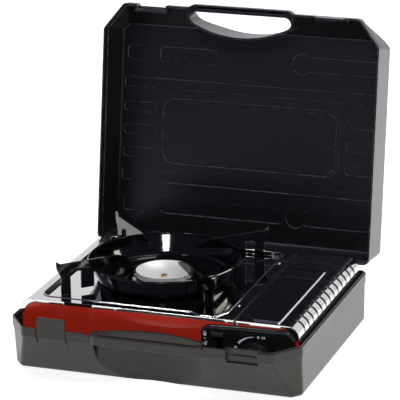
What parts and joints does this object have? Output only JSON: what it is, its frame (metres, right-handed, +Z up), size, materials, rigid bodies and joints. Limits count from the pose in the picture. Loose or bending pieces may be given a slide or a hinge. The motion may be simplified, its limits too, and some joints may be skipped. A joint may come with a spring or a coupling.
{
  "type": "butane cassette stove in a carry case",
  "caption": "Portable butane cassette stove with a polished top, red body and deep black pan support, standing in its open hinged carry case.",
  "frame": {"origin": "centre of the case base's underside, halfway between its sides at the rim, on the surface it stands on", "axes": "+X to the right of the stove, towards the cartridge bay; +Y to the back, towards the case hinge; +Z up"},
  "size_m": [0.36, 0.4177, 0.3717],
  "materials": {
    "case_plastic": "satin black moulding",
    "hinge_steel": "plain",
    "red_enamel": "gloss red",
    "bottom_steel": "zinc coated",
    "foot_rubber": "matt",
    "polished_steel": "polished",
    "soft_aluminium": "plain",
    "console_plastic": "gloss black",
    "knob_plastic": "gloss black",
    "lever_plastic": "satin black",
    "lead_rubber": "silicone sleeve",
    "shaft_brass": "plain",
    "die_cast": "as cast",
    "tube_steel": "aluminised",
    "burner_alloy": "bright machined",
    "electrode_ceramic": "glazed white",
    "electrode_steel": "plain",
    "black_enamel": "gloss black enamel"
  },
  "bodies": {
    "case": {"case_base": "case_plastic", "case_hinge_pins": "hinge_steel"},
    "lid": {"case_lid": "case_plastic"},
    "stove": {"body_shell": "red_enamel", "bottom_plate": "bottom_steel", "stove_feet": "foot_rubber", "top_plate": "polished_steel", "bay_partition": "bottom_steel", "plate_rivets": "polished_steel", "heat_plate": "soft_aluminium", "cover_hinge_pins": "hinge_steel", "control_panel": "console_plastic", "valve_shaft": "shaft_brass", "regulator": "die_cast", "gas_pipe": "shaft_brass", "lever_pivot_pin": "hinge_steel", "piezo_igniter": "console_plastic", "igniter_lead": "lead_rubber", "burner_bracket": "bottom_steel", "burner_base": "die_cast", "mixing_tube": "tube_steel", "burner_head": "burner_alloy", "burner_screw": "shaft_brass", "electrode_bracket": "bottom_steel", "electrode_ceramic": "electrode_ceramic", "electrode_wire": "electrode_steel"},
    "pan_support": {"pan_support_ring": "black_enamel", "pan_support_arms": "black_enamel"},
    "cover": {"cartridge_cover": "polished_steel"},
    "knob": {"control_knob": "knob_plastic"},
    "lever": {"lock_lever": "lever_plastic"},
    "carriage": {"lock_carriage": "bottom_steel"}
  },
  "joints": [
    {"name": "lid_hinge", "type": "hinge", "parent": "case", "child": "lid", "pos_m": [0, 0.157, 0.06265], "axis": [-1, 0, 0], "range_deg": [-98.9, 0]},
    {"name": "stove_lift", "type": "slide", "parent": "case", "child": "stove", "axis": [0, 0, 1], "range_m": [0, 0.13]},
    {"name": "pan_support_lift", "type": "slide", "parent": "stove", "child": "pan_support", "axis": [0, 0, 1], "range_m": [0, 0.06]},
    {"name": "cover_hinge", "type": "hinge", "parent": "stove", "child": "cover", "pos_m": [0.0976, 0, 0.0784], "axis": [0, -1, 0], "range_deg": [0, 95]},
    {"name": "knob_turn", "type": "hinge", "parent": "stove", "child": "knob", "pos_m": [0.121, -0.112, 0.039], "axis": [0, -1, 0], "range_deg": [0, 135]},
    {"name": "lock_lever_turn", "type": "hinge", "parent": "stove", "child": "lever", "pos_m": [0.0765, -0.062, 0.055], "axis": [1, 0, 0], "range_deg": [0, 22]},
    {"name": "carriage_slide", "type": "slide", "parent": "stove", "child": "carriage", "axis": [0, -1, 0], "range_m": [0, 0.00534]}
  ],
  "couplings": [
    {"joint": "lock_lever_turn", "follows": "carriage_slide", "rad_per_m": 71.87}
  ]
}
